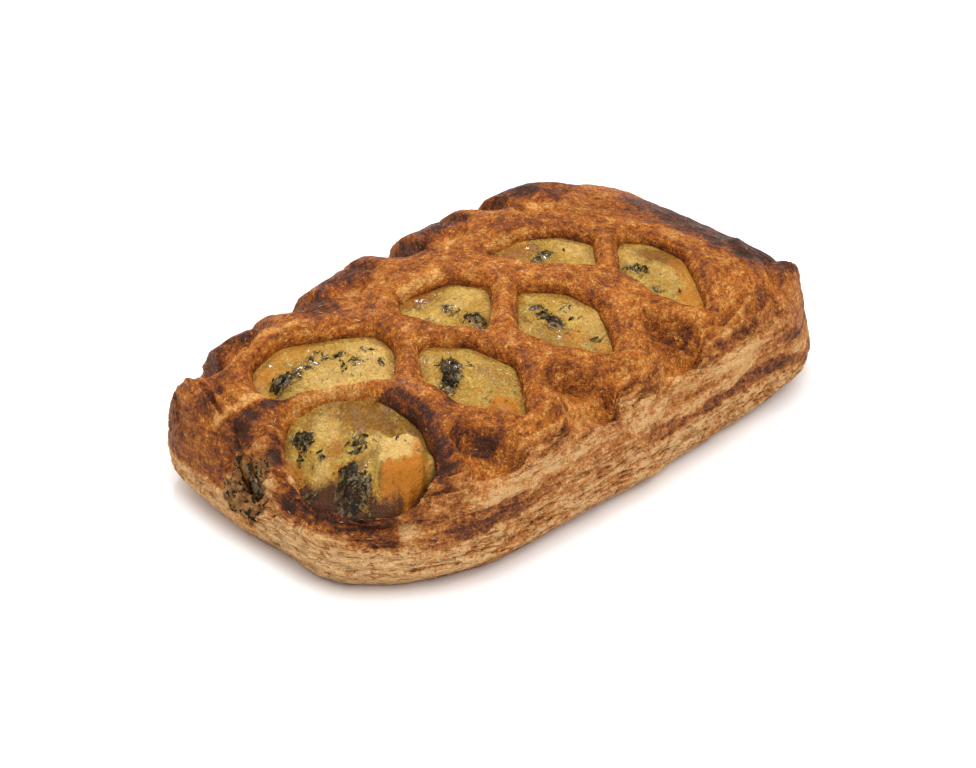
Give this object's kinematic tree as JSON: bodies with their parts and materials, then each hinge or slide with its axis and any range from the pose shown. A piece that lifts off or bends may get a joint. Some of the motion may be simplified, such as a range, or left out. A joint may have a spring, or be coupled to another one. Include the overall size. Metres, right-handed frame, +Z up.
{
  "type": "spinach and feta strudel",
  "caption": "Rectangular puff-pastry slice with a diamond lattice top over a spinach and feta filling that shows in the lattice windows",
  "frame": {"origin": "under the middle of the slice, on the surface it rests on", "axes": "+X along the slice, away from the near end with the widest window; +Y across it, away from the near long side; +Z up"},
  "size_m": [0.1498, 0.0908, 0.0371],
  "materials": {
    "pale_pastry": "pale baked puff pastry, dry and flaky",
    "golden_pastry": "golden brown glazed puff pastry, satin",
    "spinach_feta_filling": "moist spinach and feta filling, browned in places"
  },
  "bodies": {
    "root": {"base_sheet": "pale_pastry", "lattice_lid": "golden_pastry", "filling": "spinach_feta_filling"}
  },
  "joints": []
}
